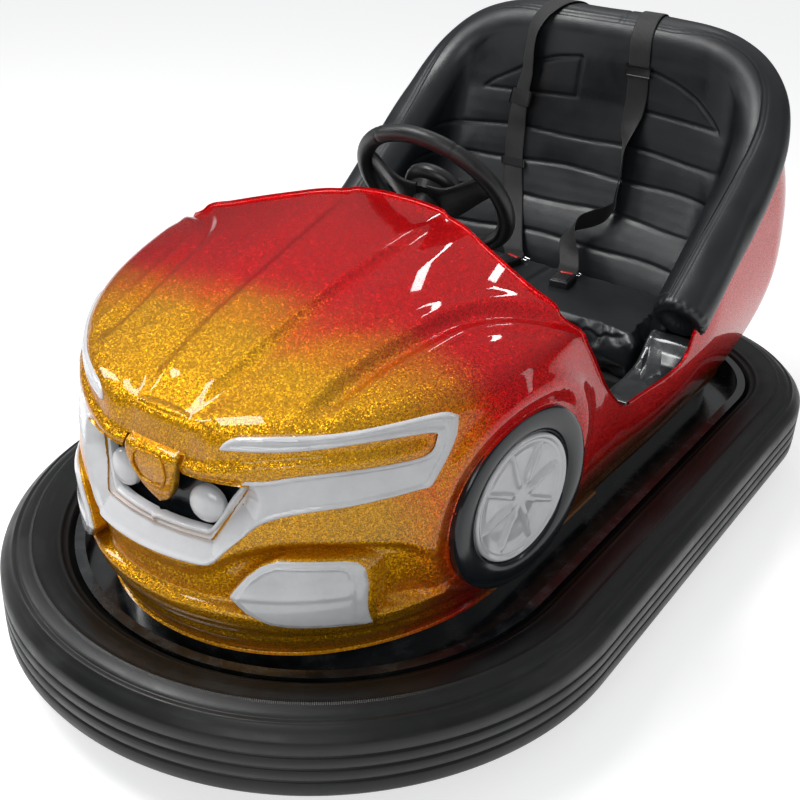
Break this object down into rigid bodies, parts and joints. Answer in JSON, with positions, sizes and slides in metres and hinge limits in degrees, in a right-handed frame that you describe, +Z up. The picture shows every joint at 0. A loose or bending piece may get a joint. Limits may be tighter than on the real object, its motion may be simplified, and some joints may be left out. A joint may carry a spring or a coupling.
{
  "type": "bumper car",
  "caption": "Fairground bumper car for riders side by side: an inflated tyre ring round a moulded body with bench seat, tilted steering wheel and steered drive wheel.",
  "frame": {"origin": "on the floor under the middle of the tyre ring", "axes": "+Z up, -Y towards the nose, +X towards the car's left side"},
  "size_m": [1.154, 1.9498, 0.9804],
  "materials": {
    "bumper_rubber": "worn satin rubber",
    "black_steel": "scratched gloss paint",
    "flake_paint": "metal flake under clear coat, gold to red",
    "white_gloss": "gloss gel coat",
    "black_gloss": "gloss gel coat",
    "black_plastic": "satin",
    "wheel_grip": "soft satin grip",
    "black_board": "matt",
    "black_vinyl": "grained vinyl",
    "webbing": "woven webbing",
    "battery_case": "matt",
    "bare_steel": "brushed",
    "cast_metal": "painted casting",
    "wheel_rubber": "matt rubber"
  },
  "bodies": {
    "root": {"bumper_tyre": "bumper_rubber", "bumper_rim": "black_steel", "floor_pan": "black_steel", "frame_crossbars": "black_steel", "frame_rail_left": "black_steel", "frame_rail_right": "black_steel", "front_cowl": "flake_paint", "rear_shell": "flake_paint", "front_trim": "white_gloss", "grille_panel": "black_gloss", "grille_lamps": "white_gloss", "fog_lamp_left": "white_gloss", "fog_lamp_right": "white_gloss", "dummy_tyre_left": "black_gloss", "dummy_tyre_right": "black_gloss", "dummy_hub_left": "white_gloss", "dummy_hub_right": "white_gloss", "dash_panel": "black_plastic", "column_tube": "black_steel", "steering_gearbox": "cast_metal", "seat_base": "black_board", "seat_cushion": "black_vinyl", "seat_back": "black_vinyl", "seat_roll": "black_vinyl", "sill_pad_left": "black_gloss", "sill_pad_right": "black_gloss", "shoulder_belt_left": "webbing", "shoulder_belt_right": "webbing", "belt_buckles": "black_plastic", "battery_block": "battery_case", "foot_pedal": "bare_steel", "drive_bridge": "black_steel", "rear_axle": "bare_steel"},
    "steering_wheel": {"steering_rim": "wheel_grip", "steering_hub": "black_plastic"},
    "drive_unit": {"drive_fork": "bare_steel", "drive_motor": "cast_metal"},
    "drive_wheel": {"drive_hub": "cast_metal", "drive_tyre": "wheel_rubber"},
    "rear_wheel_left": {"rear_hub_left": "cast_metal", "rear_tyre_left": "wheel_rubber"},
    "rear_wheel_right": {"rear_hub_right": "cast_metal", "rear_tyre_right": "wheel_rubber"}
  },
  "joints": [
    {"name": "drive_swivel", "type": "hinge", "parent": "root", "child": "drive_unit", "pos_m": [0, -0.43, 0.3], "axis": [0, 0, 1], "continuous": true},
    {"name": "steering_turn", "type": "hinge", "parent": "root", "child": "steering_wheel", "pos_m": [0, -0.075, 0.74], "axis": [0, 0.8241, 0.5664], "continuous": true},
    {"name": "drive_wheel_spin", "type": "hinge", "parent": "drive_unit", "child": "drive_wheel", "pos_m": [0, -0.43, 0.1], "axis": [1, 0, 0], "continuous": true},
    {"name": "rear_wheel_left_spin", "type": "hinge", "parent": "root", "child": "rear_wheel_left", "pos_m": [0.3, 0.44, 0.1], "axis": [1, 0, 0], "continuous": true},
    {"name": "rear_wheel_right_spin", "type": "hinge", "parent": "root", "child": "rear_wheel_right", "pos_m": [-0.3, 0.44, 0.1], "axis": [1, 0, 0], "continuous": true}
  ],
  "couplings": [
    {"joint": "steering_turn", "follows": "drive_swivel", "ratio": 1}
  ]
}
